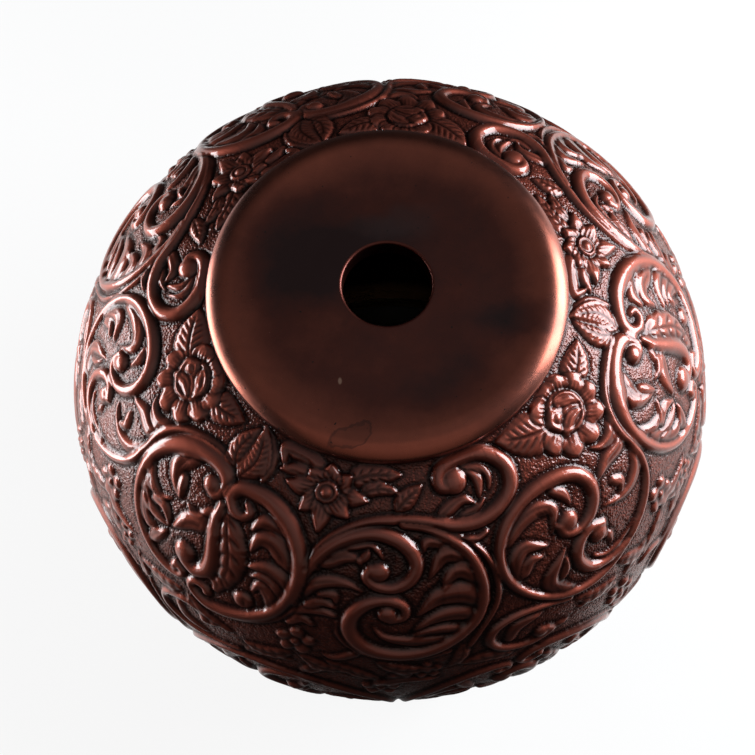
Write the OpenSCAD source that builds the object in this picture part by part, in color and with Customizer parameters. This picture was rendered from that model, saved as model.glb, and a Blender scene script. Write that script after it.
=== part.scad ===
// Globe-bodied darbuka in raised copper sheet, standing on its head with the base upwards.
// The origin is the middle of the head's outer face and +Z is the drum's axis, towards the base.

/* [Belly] */
// Largest diameter of the belly
belly_d = 300; // [270:1:330]
// Radius of the arc that the belly's side is raised to
belly_arc_r = 116.5; // [108:0.5:122]
// Thickness of the copper sheet
sheet = 1.2; // [0.8:0.1:2]

/* [Base] */
// Diameter of the seam where the base meets the belly
base_seam_d = 146; // [130:1:160]
// Radius of the base's rolled rim
base_rim_r = 9; // [6:0.5:12]
// Depth of the dish below the crest of the rim
dish_depth = 1.5; // [0.5:0.1:3]
// Radius of the hollow that leads from the rim down to the dish
dish_blend_r = 180; // [120:10:220]
// Bore of the sound hole
sound_hole_d = 36; // [24:1:50]
// Thickness of the tube that lines the sound hole
hole_tube = 1.2; // [0.8:0.1:2]
// Length of the tube below the dish
hole_tube_l = 9; // [5:0.5:14]
// Width of the flange that holds the tube under the dish
hole_flange_w = 5; // [3:0.5:8]

/* [Embossing] */
// Radius of the section of a main scroll
scroll_r = 4; // [3:0.25:5]
// Height of the main scrolls above the belly
scroll_rise = 1.4; // [0.8:0.1:2]
// Radius of the rosettes' domes
rosette_r = 13; // [10:0.5:15]
// Width of the plain border under the lower scrolls, in degrees of the belly's map
border = 2.5; // [1:0.5:5]

/* [Head] */
// Outer diameter of the collar that carries the head
head_d = 220; // [200:1:236]
// Height of the collar's straight wall
collar_h = 44; // [42:1:60]
// Radius of the hollow that leads from the collar out to the belly
collar_flare_r = 12; // [8:1:20]
// Thickness of the head's film
film = 0.35; // [0.2:0.05:0.5]
// Height of the film's skirt above the head's outer face
skirt_h = 14; // [12:0.5:16]
// Width of the film's turned-out edge
film_edge_w = 3; // [2:0.5:3.5]
// Width of the bearing ring
bearing_w = 6; // [4:0.5:9]
// Height of the bearing ring below the collar
bearing_h = 6.5; // [5:0.5:8]
// Length of the bearing ring's spigot inside the collar
spigot_h = 8; // [5:0.5:12]
// Width of the flesh hoop
hoop_w = 6; // [5:0.5:8]
// Height of the flesh hoop
hoop_h = 7.5; // [6.5:0.5:10]

/* [Tuning] */
// Number of tuning bolts
bolt_count = 8; // [6:1:10]
// Thread diameter of the tuning bolts
bolt_d = 6; // [5:0.5:6]
// Width across the flats of the bolt heads
bolt_head_af = 10; // [8:0.5:11]
// Height of the bolt heads
bolt_head_h = 4; // [3:0.5:6]
// Diameter of the washers
washer_d = 12; // [10:0.5:14]
// Thickness of the washers
washer_h = 1.2; // [0.8:0.1:2]
// Radius of the circle that the bolts stand on, beyond the collar
bolt_reach = 14.5; // [14.5:0.5:16]
// Width of the tension ring beyond the bolts' circle
ring_margin = 7; // [5:0.5:9]
// Height of the tension ring
ring_h = 9; // [7:0.5:10]
// Height of the tension ring's lip under the hoop
ring_lip_h = 4; // [3:0.5:5]
// Rounding of the tension ring's edges
ring_round = 2.5; // [1:0.25:3]
// Thickness of the anchor ring
anchor_h = 4; // [3:0.5:6]
// Radius of the anchor ring's lobes round the bolts
anchor_lobe_r = 8.5; // [7:0.5:10]
// Width of the anchor ring between the lobes
anchor_w = 8; // [6:0.5:10]
// Inner radius of the collar's swaged bead under the anchor ring
bead_in_r = 1; // [0.5:0.1:2]
// Height of the bead's middle above the head's outer face
bead_z = 34; // [30:0.5:36]
// Travel of the tension ring each way from rest
ring_travel = 1.5; // [0.5:0.1:1.6]

/* [Clearances] */
// Gap between the film and what it is stretched over
film_gap = 0.05; // [0.02:0.01:0.1]
// Gap between pieces that slide past each other
slide_gap = 0.4; // [0.3:0.05:0.6]
// Gap round a bolt in its threaded hole
thread_gap = 0.05; // [0.02:0.01:0.1]
// Gap round a bolt in a plain hole
hole_gap = 0.3; // [0.2:0.05:0.5]
// Gap between the sound hole's tube and the base
tube_gap = 0.05; // [0.02:0.01:0.1]

/* [Hidden] */
$fn = 96;
// How far a cutting shape runs past what it cuts
past = 1;

// The collar and the head, from the floor up
collar_r = head_d / 2;
bearing_z = film + film_gap;
collar_z = bearing_z + bearing_h;
collar_top_z = collar_z + collar_h;
skirt_in_r = collar_r + film_gap;
skirt_out_r = skirt_in_r + film;

// The flesh hoop, with the film's edge in the middle of its groove
hoop_in_r = skirt_out_r + slide_gap;
hoop_out_r = hoop_in_r + hoop_w;
hoop_mid_z = skirt_h - film / 2;
hoop_z = hoop_mid_z - hoop_h / 2;
groove_h = film + 2 * (ring_travel + slide_gap / 2);
groove_out_r = skirt_out_r + film_edge_w + slide_gap;

// The tension ring and the bolts' circle
ring_in_r = hoop_in_r + slide_gap;
ring_wall_r = hoop_out_r + slide_gap;
ring_z = hoop_z - ring_lip_h;
bolt_circle_r = collar_r + bolt_reach;
ring_out_r = bolt_circle_r + ring_margin;
bolt_r = bolt_d / 2 - thread_gap;

// The anchor ring sits on the bead, with the washers and bolt heads above it
bead_r = bead_in_r + sheet;
anchor_z = bead_z + bead_r;
washer_z = anchor_z + anchor_h;
bolt_head_z = washer_z + washer_h;
bolt_tip_z = ring_z + ring_travel;
bolt_chamfer = 0.6;

// The belly's arc is tangent to the collar's flare
belly_r = belly_d / 2;
arc_centre_r = belly_r - belly_arc_r;
flare_centre_r = collar_r + collar_flare_r;
flare_reach = belly_arc_r + collar_flare_r;
belly_drop = sqrt(pow(flare_reach, 2) - pow(flare_centre_r - arc_centre_r, 2));
equator_z = collar_top_z + belly_drop;
flare_angle = asin(belly_drop / flare_reach);
belly_bottom_z = equator_z - belly_arc_r * sin(flare_angle);

// The base stands on the belly's upper edge
seam_r = base_seam_d / 2;
seam_z = equator_z + sqrt(pow(belly_arc_r, 2) - pow(seam_r - arc_centre_r, 2));
rim_centre_r = seam_r - base_rim_r;
crest_z = seam_z + base_rim_r;
dish_z = crest_z - dish_depth;
blend_angle = acos(1 - dish_depth / (base_rim_r + dish_blend_r));
blend_centre_r = rim_centre_r - (base_rim_r + dish_blend_r) * sin(blend_angle);

// The sound hole's tube and its flange
hole_r = sound_hole_d / 2;
hole_tube_r = hole_r + hole_tube;
dish_hole_r = hole_tube_r + tube_gap;
hole_flange_r = dish_hole_r + hole_flange_w;

// The scrollwork is drawn on a map of the belly that keeps angles true, in degrees of turn and latitude
ornament_repeats = 3;
seam_slope = acos((seam_r - arc_centre_r) / belly_arc_r);
map_pace = sqrt(1 - pow(arc_centre_r / belly_arc_r, 2));
map_squeeze = sqrt((belly_arc_r - arc_centre_r) / (belly_arc_r + arc_centre_r));
seam_lat = map_lat(seam_slope);
band_span = seam_lat - map_lat(-flare_angle) - border;

BODY_NODES = [
    "belly_shell", "base_dish", "sound_hole_collar", "head_collar", "bearing_ring",
    "drum_head", "flesh_hoop", "tension_ring", "anchor_ring", "bolt_washers"
];

copper = [0.42, 0.20, 0.16];
brass = [0.55, 0.42, 0.22];
steel = [0.55, 0.55, 0.57];
aluminium = [0.75, 0.76, 0.78];
film_white = [0.92, 0.91, 0.88];

// A box of the section plane, from one corner to the other
module section_box(r1, z1, r2, z2) {
    translate([r1, z1]) square([r2 - r1, z2 - z1]);
}

// A box of the section plane with all four corners rounded
module rounded_box(r1, z1, r2, z2, round) {
    section_box(r1 + round, z1, r2 - round, z2);
    section_box(r1, z1 + round, r2, z2 - round);
    for (r = [r1 + round, r2 - round], z = [z1 + round, z2 - round])
        translate([r, z]) circle(r = round);
}

// A wedge of the section plane between two angles less than half a turn apart
module wedge(reach, from, to) {
    mid = (from + to) / 2;
    far = reach * 3;
    polygon([[0, 0], far * [cos(from), sin(from)], far * [cos(mid), sin(mid)], far * [cos(to), sin(to)]]);
}

// A strip bent to an arc, between its inner and outer radius and two angles
module bent_strip(centre, inner, outer, from, to) {
    translate(centre) intersection() {
        difference() {
            circle(r = outer);
            circle(r = inner);
        }
        wedge(outer, from, to);
    }
}

// Latitude on the map for a slope of the belly above its equator
function map_lat(slope) = 360 / PI / map_pace * artanh(map_squeeze * tan(slope / 2));

// Slope of the belly for a latitude on the map
function map_slope(lat) = 2 * atan(tanh(lat * PI / 360 * map_pace) / map_squeeze);

function artanh(x) = ln((1 + x) / (1 - x)) / 2;

function tanh(x) = (exp(2 * x) - 1) / (exp(2 * x) + 1);

// How far a ball's surface falls away at a reach from its top
function sag(ball_r, reach) = ball_r - sqrt(pow(ball_r, 2) - pow(reach, 2));

// Copies of a shape at the tuning bolts' places
module at_bolts() {
    for (k = [0 : bolt_count - 1]) at_bolt(k) children();
}

module at_bolt(k) {
    rotate(360 / bolt_count * (k + 0.5)) translate([bolt_circle_r, 0, 0]) children();
}

// A place on the belly: local Z stands off the sheet, X points away from the base and Y along the turn
module on_belly(turn, slope) {
    rotate([0, 0, turn]) translate([arc_centre_r, 0, equator_z]) rotate([0, 90 - slope, 0]) children();
}

// A round scroll: part of a ring of the given size about a place so far below the seam, all in map degrees
module scroll(turn, down, size, from, to) {
    slope = map_slope(seam_lat - down);
    parallel_r = arc_centre_r + belly_arc_r * cos(slope);
    ring_r = size * PI / 180 * parallel_r;
    fall = (sag(belly_arc_r, ring_r) + sag(parallel_r / cos(slope), ring_r)) / 2;
    on_belly(turn, slope) translate([0, 0, belly_arc_r - fall - scroll_r + scroll_rise])
        rotate([0, 0, from]) rotate_extrude(angle = to - from) translate([ring_r, 0]) circle(r = scroll_r);
}

// The dome of a rosette
module rosette(turn, down) {
    ball_r = 1 / (1 / belly_arc_r + 2 * scroll_rise / pow(rosette_r, 2));
    on_belly(turn, map_slope(seam_lat - down))
        translate([0, 0, belly_arc_r + scroll_rise - ball_r]) sphere(r = ball_r);
}

// The main scrolls of one repeat of the band under the seam
module upper_repeat(turn) {
    scroll(turn + 226, 32, 15.3, 180, 360); // left half of the lyre
    scroll(turn + 235, 32, 15.3, 0, 180); // right half of the lyre
    scroll(turn + 273, 33, 15, -65, 165); // medallion
    scroll(turn + 263, 29, 10.7, 90, 270); // bow over the medallion
    scroll(turn + 291, 12, 8, -35, 235); // scroll by the rosette
    scroll(turn + 304, 32, 12.8, 100, 320); // left half of the heart
    scroll(turn + 309, 28, 19.5, -15, 60); // right half of the heart
    rosette(turn + 323, 11);
    rosette(turn + 252, 11);
}

// The same scrolls mirrored in the band over the collar, as far up as they stay clear of the equator
module lower_repeat(turn) {
    scroll(turn + 226, band_span - 32, 15.3, -65, 0); // left half of the lyre
    scroll(turn + 235, band_span - 32, 15.3, 0, 65); // right half of the lyre
    scroll(turn + 263, band_span - 29, 10.7, -70, 70); // bow under the medallion
    scroll(turn + 291, band_span - 12, 8, -55, 215); // scroll by the rosette
    scroll(turn + 304, band_span - 32, 12.8, -60, 60); // left half of the heart
    rosette(turn + 323, band_span - 11);
    rosette(turn + 252, band_span - 11);
}

// The scrollwork of both bands round the belly
module scrollwork() {
    for (k = [0 : ornament_repeats - 1]) {
        upper_repeat(k * 360 / ornament_repeats);
        lower_repeat((k + 0.5) * 360 / ornament_repeats);
    }
}

// The section of the belly, or of the hollow inside it, to a given arc and so far past the two edges
module belly_section(arc_r, over) {
    intersection() {
        union() {
            translate([arc_centre_r, equator_z]) circle(r = arc_r);
            section_box(0, equator_z - arc_r, arc_centre_r, equator_z + arc_r);
        }
        section_box(0, belly_bottom_z - over, belly_r + past, seam_z + over);
    }
}

// The embossed bowl between the collar's flare and the base's seam
module belly_shell() {
    color(copper) difference() {
        union() {
            rotate_extrude() belly_section(belly_arc_r, 0);
            scrollwork();
        }
        rotate_extrude() belly_section(belly_arc_r - sheet, past);
    }
}

// The smooth base: a quarter-round rim, a blend down to the dish and a flat floor with a hole
module base_dish() {
    color(copper) rotate_extrude() {
        bent_strip([rim_centre_r, seam_z], base_rim_r - sheet, base_rim_r, 0, 90 + blend_angle);
        bent_strip([blend_centre_r, dish_z + dish_blend_r], dish_blend_r, dish_blend_r + sheet,
            270, 270 + blend_angle);
        section_box(dish_hole_r, dish_z - sheet, blend_centre_r, dish_z);
    }
}

// The lining of the sound hole: a tube with a rounded mouth, flush with the dish, and a flange under it
module sound_hole_collar() {
    color(copper) rotate_extrude() {
        section_box(hole_r, dish_z - hole_tube_l, hole_tube_r, dish_z - hole_tube);
        intersection() {
            translate([hole_tube_r, dish_z - hole_tube]) circle(r = hole_tube);
            section_box(hole_r, dish_z - hole_tube, hole_tube_r, dish_z);
        }
        section_box(hole_r + hole_tube / 2, dish_z - 2 * sheet, hole_flange_r, dish_z - sheet);
    }
}

// The bead pressed out of the collar's wall, as a section to add and the groove behind it
module bead(radius, wall_r) {
    section_box(wall_r, bead_z - radius, collar_r, bead_z + radius);
    intersection() {
        translate([collar_r, bead_z]) circle(r = radius);
        section_box(collar_r, bead_z - radius, collar_r + radius, bead_z + radius);
    }
}

// The plain collar under the belly, with its flare and the bead that stops the anchor ring
module head_collar() {
    color(copper) rotate_extrude() {
        difference() {
            union() {
                section_box(collar_r - sheet, collar_z, collar_r, collar_top_z);
                bead(bead_r, collar_r - sheet);
            }
            bead(bead_in_r, collar_r - sheet - past);
        }
        intersection() {
            bent_strip([flare_centre_r, collar_top_z], collar_flare_r, collar_flare_r + sheet, 90, 180);
            section_box(0, collar_top_z, flare_centre_r, belly_bottom_z);
        }
    }
}

// The turned ring with the rounded edge that the film runs over, and its spigot in the collar
module bearing_ring() {
    edge_r = bearing_w / 2;
    color(brass) rotate_extrude() {
        translate([collar_r - edge_r, bearing_z + edge_r]) circle(r = edge_r);
        section_box(collar_r - bearing_w, bearing_z + edge_r, collar_r, collar_z);
        section_box(collar_r - bearing_w, collar_z - past, collar_r - sheet, collar_z + spigot_h);
    }
}

// The film of the head: flat face, round edge, skirt and turned-out edge in the hoop's groove
module drum_head() {
    edge_r = bearing_w / 2;
    turn_r = edge_r + film_gap;
    color(film_white) rotate_extrude() {
        section_box(0, 0, collar_r - edge_r, film);
        bent_strip([collar_r - edge_r, bearing_z + edge_r], turn_r, turn_r + film, 270, 360);
        section_box(skirt_in_r, bearing_z + edge_r, skirt_out_r, skirt_h);
        section_box(skirt_in_r, skirt_h - film, skirt_out_r + film_edge_w, skirt_h);
    }
}

// The hoop that holds the film's edge in its groove
module flesh_hoop() {
    color(aluminium) rotate_extrude() difference() {
        section_box(hoop_in_r, hoop_z, hoop_out_r, hoop_z + hoop_h);
        section_box(hoop_in_r - past, hoop_mid_z - groove_h / 2, groove_out_r, hoop_mid_z + groove_h / 2);
    }
}

// The ring that the bolts draw up the collar, with the lip that carries the hoop
module tension_ring() {
    color(copper) difference() {
        rotate_extrude() {
            rounded_box(ring_wall_r, ring_z, ring_out_r, ring_z + ring_h, ring_round);
            section_box(ring_wall_r, ring_z + ring_round, ring_wall_r + ring_round, ring_z + ring_h);
            section_box(ring_in_r, ring_z + ring_lip_h / 2, ring_wall_r + ring_round, ring_z + ring_lip_h);
            section_box(ring_in_r + ring_lip_h / 2, ring_z, ring_wall_r + ring_round, ring_z + ring_lip_h);
            translate([ring_in_r + ring_lip_h / 2, ring_z + ring_lip_h / 2]) circle(r = ring_lip_h / 2);
        }
        at_bolts() translate([0, 0, ring_z - past]) cylinder(d = bolt_d, h = ring_h + 2 * past);
    }
}

// The lobed ring on the collar's bead that the bolts pull against
module anchor_ring() {
    color(steel) translate([0, 0, anchor_z]) linear_extrude(anchor_h) difference() {
        union() {
            circle(r = collar_r + anchor_w);
            at_bolts() circle(r = anchor_lobe_r);
        }
        circle(r = collar_r);
        at_bolts() circle(r = bolt_r + hole_gap);
    }
}

// A washer under each bolt head
module bolt_washers() {
    color(steel) at_bolts() translate([0, 0, washer_z]) difference() {
        cylinder(d = washer_d, h = washer_h);
        translate([0, 0, -past]) cylinder(r = bolt_r + hole_gap, h = washer_h + 2 * past);
    }
}

// One bolt: a chamfered hexagon head over a shank that ends inside the tension ring
module tuning_bolt(k) {
    head_r = bolt_head_af / 2 / cos(30);
    color(steel) at_bolt(k) {
        translate([0, 0, bolt_head_z]) intersection() {
            cylinder(r = head_r, h = bolt_head_h, $fn = 6);
            cylinder(r1 = bolt_head_af / 2 + bolt_head_h, r2 = bolt_head_af / 2 - bolt_chamfer / 2,
                h = bolt_head_h + bolt_chamfer);
        }
        translate([0, 0, bolt_tip_z + bolt_chamfer])
            cylinder(r = bolt_r, h = bolt_head_z - bolt_tip_z - bolt_chamfer + past);
        translate([0, 0, bolt_tip_z]) cylinder(r1 = bolt_r - bolt_chamfer, r2 = bolt_r, h = bolt_chamfer);
    }
}

belly_shell();
base_dish();
sound_hole_collar();
head_collar();
bearing_ring();
drum_head();
flesh_hoop();
tension_ring();
anchor_ring();
bolt_washers();
for (k = [0 : bolt_count - 1])
    tuning_bolt(k);
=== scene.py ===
# %% [markdown]
# # An embossed copper drum, standing on its head
# This hand drum is a globe of thin copper sheet with a smooth, dished base and a round sound hole.
# The photograph looks down on that base, so the drum is shown resting on its head.
# The packed solids are the frame: every piece below sits where a solid says, and some stay as they are.

from math import acos, asin, atan2, cos, degrees, pi, radians, sin, sqrt

import bmesh
import bpy
import numpy as np
from mathutils import Matrix, Vector


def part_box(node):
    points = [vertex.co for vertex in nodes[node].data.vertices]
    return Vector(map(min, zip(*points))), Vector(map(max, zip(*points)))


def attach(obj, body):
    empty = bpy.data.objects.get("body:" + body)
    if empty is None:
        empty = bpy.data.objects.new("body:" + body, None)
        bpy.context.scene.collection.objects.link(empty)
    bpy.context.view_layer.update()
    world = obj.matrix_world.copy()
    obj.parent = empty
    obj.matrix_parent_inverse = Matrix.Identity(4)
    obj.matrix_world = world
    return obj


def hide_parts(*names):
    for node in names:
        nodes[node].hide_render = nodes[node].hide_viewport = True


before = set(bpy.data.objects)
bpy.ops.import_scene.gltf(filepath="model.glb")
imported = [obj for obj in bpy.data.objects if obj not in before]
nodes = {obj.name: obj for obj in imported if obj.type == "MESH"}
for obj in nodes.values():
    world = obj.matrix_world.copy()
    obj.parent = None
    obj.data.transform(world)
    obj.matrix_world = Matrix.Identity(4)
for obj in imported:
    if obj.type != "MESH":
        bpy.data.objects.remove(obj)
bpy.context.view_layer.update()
MM = 0.001

# %% [markdown]
# ## The sizes that the pieces share
# A maker would read these off the solids with calipers. The belly's side is one arc, so the belly's
# radius, the seam's radius and the arc's own radius are enough to find its centre and its slopes.

# %% Read the drum's sizes
belly_low, belly_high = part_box("belly_shell")
_, dish_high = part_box("base_dish")
lip_low, lip_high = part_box("sound_hole_collar")
collar_low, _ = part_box("head_collar")

sheet_t = 1.2
arc_r = 116.5
belly_r = 150.0
seam_r = dish_high.x / MM
seam_z = belly_high.z / MM
belly_bottom_z = belly_low.z / MM
arc_centre_r = belly_r - arc_r
equator_z = seam_z - sqrt(arc_r ** 2 - (seam_r - arc_centre_r) ** 2)
seam_slope = acos((seam_r - arc_centre_r) / arc_r)
bottom_slope = -asin((equator_z - belly_bottom_z) / arc_r)
print("belly radius", belly_r, "equator at", round(equator_z, 2), "seam slope", round(degrees(seam_slope), 2))

# %% [markdown]
# ## The camera
# The photograph was taken from above and a little in front, close enough for the belly to bulge past
# the base. The camera leans by two degrees, and the drum sits a little to the right of the middle, so the
# lens is shifted rather than turned.

# %% Set the camera
view_rise = radians(69.95)
view_reach = 0.5888
picture_lean = radians(1.88)

camera_data = bpy.data.cameras.new("photo_camera")
camera_data.lens = 57.2
camera_data.sensor_width = 36
camera_data.shift_x = -0.0167
camera_data.shift_y = 0.0086
camera_data.clip_start = 0.02
camera = bpy.data.objects.new("photo_camera", camera_data)
bpy.context.scene.collection.objects.link(camera)
view_from = Vector((0, -cos(view_rise), sin(view_rise)))
turn = view_from.to_track_quat("Z", "Y").to_matrix().to_4x4() @ Matrix.Rotation(-picture_lean, 4, "Z")
camera.matrix_world = Matrix.Translation(Vector((0, 0, equator_z * MM)) + view_from * view_reach) @ turn
bpy.context.scene.camera = camera
bpy.context.scene.view_settings.view_transform = "Standard"
print("camera at", [round(v, 3) for v in camera.location])

# %% [markdown]
# ## Helpers for nodes and meshes
# Each finish is a small graph of nodes, built by calls that read like sums: every method of a graph adds one
# node and gives back its result. Another helper turns a bmesh into an object of the drum. A wall of turned
# or spun metal is a section that goes once round.

# %% Helpers for finishes
class Graph:
    """A graph of nodes that feeds a material or the world."""

    def __init__(self, tree):
        self.tree = tree

    def add(self, kind, settings=None, *values, **sockets):
        """A node with its settings; values fill its sockets in order, and the rest go by name."""
        node = self.tree.nodes.new("ShaderNode" + kind)
        for key, value in (settings or {}).items():
            setattr(node, key, value)
        for key, value in enumerate(values):
            self.plug(node, key, value)
        self.set(node, **sockets)
        return node

    def plug(self, node, key, value):
        if isinstance(value, bpy.types.NodeSocket):
            self.tree.links.new(value, node.inputs[key])
        else:
            node.inputs[key].default_value = value

    def set(self, node, **sockets):
        for key, value in sockets.items():
            self.plug(node, key.replace("_", " "), value)

    def math(self, operation, *values):
        return self.add("Math", {"operation": operation}, *values).outputs[0]

    def total(self, start, *terms):
        """A start value and (value, weight) pairs, added up."""
        for value, weight in terms:
            start = self.math("MULTIPLY_ADD", value, weight, start)
        return start

    def vector(self, operation, *values):
        node = self.add("VectorMath", {"operation": operation}, *values)
        return node.outputs["Value" if operation == "LENGTH" else 0]

    def noise(self, at, scale, detail, rough=0.5, output="Fac", **more):
        return self.add("TexNoise", None, Vector=at, Scale=scale, Detail=detail, Roughness=rough,
                        **more).outputs[output]

    def remap(self, value, low=0.0, high=1.0, to_low=0.0, to_high=1.0, kind="LINEAR"):
        return self.add("MapRange", {"interpolation_type": kind}, value, low, high, to_low,
                        to_high).outputs[0]

    def ramp(self, factor, stops):
        """A colour ramp from (place, colour) pairs."""
        node = self.add("ValToRGB", None, factor)
        points = node.color_ramp.elements
        while len(points) < len(stops):
            points.new(0.5)
        for point, (place, colour) in zip(points, stops):
            point.position = place
            point.color = (*colour, 1)
        return node.outputs["Color"]

    def mix(self, factor, first, second):
        node = self.add("Mix", {"data_type": "RGBA"}, factor)
        self.plug(node, 6, first)
        self.plug(node, 7, second)
        return node.outputs[2]

    def bump(self, height, strength, distance):
        return self.add("Bump", None, Strength=strength, Distance=distance, Height=height).outputs[0]


print("a graph can", ", ".join(name for name in vars(Graph) if name[0] != "_"))

# %% A new finish
def new_finish(name):
    """A material, its graph, its Principled shader and the place on a piece that its patterns read."""
    material = bpy.data.materials.new(name)
    material.use_nodes = True
    g = Graph(material.node_tree)
    return material, g, g.tree.nodes["Principled BSDF"], g.add("TexCoord").outputs["Object"]


print("materials so far:", len(bpy.data.materials))

# %% Helpers for meshes
def new_object(name, bm, material):
    """The bmesh as an object with one finish."""
    mesh = bpy.data.meshes.new(name)
    bm.to_mesh(mesh)
    bm.free()
    mesh.materials.append(material)
    obj = bpy.data.objects.new(name, mesh)
    bpy.context.scene.collection.objects.link(obj)
    return obj


def piece(name, bm, material, body, slot, *replaced):
    """A piece of the drum that rides on a body and stands for some solids."""
    obj = new_object(name, bm, material)
    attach(obj, body)
    if replaced:
        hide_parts(*replaced)
    return obj


def arc_points(centre, radius, start, end, count):
    """Points (r, z) of an arc of the section, between two angles in degrees."""
    angles = [radians(start + (end - start) * k / count) for k in range(count + 1)]
    return [(centre[0] + radius * cos(a), centre[1] + radius * sin(a)) for a in angles]


def spun(section, steps):
    """A closed section, given as points (r, z) in mm, spun once round the drum's axis."""
    bm = bmesh.new()
    verts = [bm.verts.new((r * MM, 0, z * MM)) for r, z in section]
    edges = [bm.edges.new(pair) for pair in zip(verts, verts[1:] + verts[:1])]
    bmesh.ops.spin(bm, geom=verts + edges, cent=(0, 0, 0), axis=(0, 0, 1), angle=2 * pi, steps=steps,
                   use_merge=True)
    bmesh.ops.remove_doubles(bm, verts=bm.verts, dist=1e-7)
    bmesh.ops.recalc_face_normals(bm, faces=bm.faces)
    return bm


def smooth(obj, sharp_over):
    """Smooth shading, with the edges that turn more than an angle kept sharp."""
    obj.data.polygons.foreach_set("use_smooth", [True] * len(obj.data.polygons))
    bm = bmesh.new()
    bm.from_mesh(obj.data)
    for edge in bm.edges:
        edge.smooth = not (edge.is_manifold and edge.calc_face_angle() > radians(sharp_over))
    bm.to_mesh(obj.data)
    bm.free()


print("mesh helpers ready")

# %% [markdown]
# ## Floor, backdrop and lamps
# The drum was photographed between two soft lamps that stand low at its left and right, on white that shows
# in its flanks. In front, where the photographer stood, and behind, the studio is dim, and so are the middle
# of the belly and the base. The camera sees plain white paper wherever it looks: only the metal sees the dim
# areas, like dark screens outside the picture. The floor takes the drum's shadow.

# %% Floor paint
PAPER_GLOW = 0.88
DIM_WHITE, HALF_WHITE = 0.03, 0.16

# Two curved borders, in metres: before the front one and past the back one the metal sees a dim floor.
floor_paint, g, shader, place = new_finish("floor_paint")
split = g.add("SeparateXYZ", None, place)
x, y = split.outputs["X"], split.outputs["Y"]
bend = g.math("SQRT", g.math("MULTIPLY_ADD", g.math("MULTIPLY", x, x), 0.25, 0.01))
front = g.math("ADD", bend, y)
back = g.math("SUBTRACT", g.math("MULTIPLY_ADD", bend, 1.8, 0.10), y)
lit = g.remap(g.math("MINIMUM", front, back), -0.15, 0.02, kind="SMOOTHSTEP")
ray = g.add("LightPath").outputs
lit = g.math("MAXIMUM", lit, ray["Is Camera Ray"])
paper = g.ramp(lit, [(0.0, (DIM_WHITE,) * 3), (0.55, (HALF_WHITE,) * 3), (1.0, (1, 1, 1))])
g.set(shader, Base_Color=paper, Roughness=0.9, Specular_IOR_Level=0.1)
seen = g.math("MAXIMUM", ray["Is Camera Ray"], ray["Is Glossy Ray"])
seen = g.math("MAXIMUM", seen, ray["Is Transmission Ray"])
glow = g.add("Emission", None, Color=paper, Strength=1.0)
surface = g.add("MixShader", None, g.math("MULTIPLY", seen, PAPER_GLOW), shader.outputs[0], glow.outputs[0])
g.set(g.tree.nodes["Material Output"], Surface=surface.outputs[0])
print("floor paint:", len(g.tree.nodes), "nodes")

# %% Floor and backdrop
FLOOR_R = 8.0
bm = bmesh.new()
bmesh.ops.create_circle(bm, cap_ends=True, segments=96, radius=FLOOR_R)
bmesh.ops.translate(bm, verts=bm.verts, vec=(0, 0, -0.0003))
floor = new_object("studio_floor", bm, floor_paint)

world = bpy.data.worlds.new("studio")
bpy.context.scene.world = world
world.use_nodes = True
g = Graph(world.node_tree)
up = g.add("SeparateXYZ", None, g.add("TexCoord").outputs["Generated"]).outputs["Z"]
dim = g.ramp(up, [(0.45, (0.02, 0.02, 0.02)), (0.95, (0.17, 0.17, 0.17))])
sky = g.mix(g.add("LightPath").outputs["Is Camera Ray"], dim, (0.9, 0.9, 0.9, 1))
g.set(g.tree.nodes["Background"], Color=sky)
print("white floor of radius", FLOOR_R, "m in a dim studio")

# %% Lamps
def soft_box(name, at, width, height, power, colour):
    """A soft lamp that faces the middle of the belly; sizes in m and power in W."""
    data = bpy.data.lights.new(name, "AREA")
    data.shape = "RECTANGLE"
    data.size = width
    data.size_y = height
    data.energy = power
    data.color = colour
    lamp = bpy.data.objects.new(name, data)
    bpy.context.scene.collection.objects.link(lamp)
    lamp.location = at
    lamp.rotation_euler = (Vector(at) - Vector((0, 0, equator_z * MM))).to_track_quat("Z", "Y").to_euler()


soft_box("left_box", (-0.80, 0.12, 0.18), 0.68, 0.28, 5.6, (0.96, 1.0, 1.03))
soft_box("right_box", (0.66, 0.15, 0.44), 0.50, 0.48, 8.8, (0.93, 1.0, 1.06))
soft_box("front_fill", (0, -0.80, 0.98), 1.6, 1.1, 0.85, (1.0, 0.82, 0.72))
print("two soft boxes and a weak, warm fill")

# %% [markdown]
# ## A map of the belly
# The ornament was drawn on a flat pattern and hammered through to the sheet. Azimuth and a stretched
# latitude make a map on which small shapes keep their angles, so a round knob on the map stays round on
# the belly. A place is given as the azimuth in degrees and the distance down from the seam in mm.

# %% Map of the belly
PANELS = 3
TILES = 6
TILE_COLUMNS = 210
ROWS = 380
arc_root = sqrt(arc_r ** 2 - arc_centre_r ** 2)
arc_squeeze = sqrt((arc_r - arc_centre_r) / (arc_r + arc_centre_r))


def latitude(slope):
    return 2 * arc_r / arc_root * np.arctanh(arc_squeeze * np.tan(slope / 2))


def slope_at(lat):
    return 2 * np.arctan(np.tanh(lat * arc_root / (2 * arc_r)) / arc_squeeze)


def ring_radius(lat):
    return arc_centre_r + arc_r * np.cos(slope_at(lat))


def spot(azimuth, down):
    return np.array([radians(azimuth), float(latitude(seam_slope - down / arc_r))])


columns = TILES * TILE_COLUMNS
panel_columns = columns // PANELS
turn_step = 2 * pi / columns
lat_line = np.linspace(latitude(seam_slope), latitude(bottom_slope), ROWS + 1)
down_line = (seam_slope - slope_at(lat_line)) * arc_r
print("map of", columns, "by", ROWS, "cells, seam to collar", round(down_line[-1], 1), "mm")

# %% [markdown]
# ## The chasing tools
# The pattern repeats three times round the belly, so one panel is worked and then laid round. Each tool
# raises what lies inside an outline and sinks a dark chased line outside it: a rolled scroll, a fleshy
# lobe, a veined leaf, a petal, a round boss and a cut line. Heights and widths are in mm.

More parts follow.
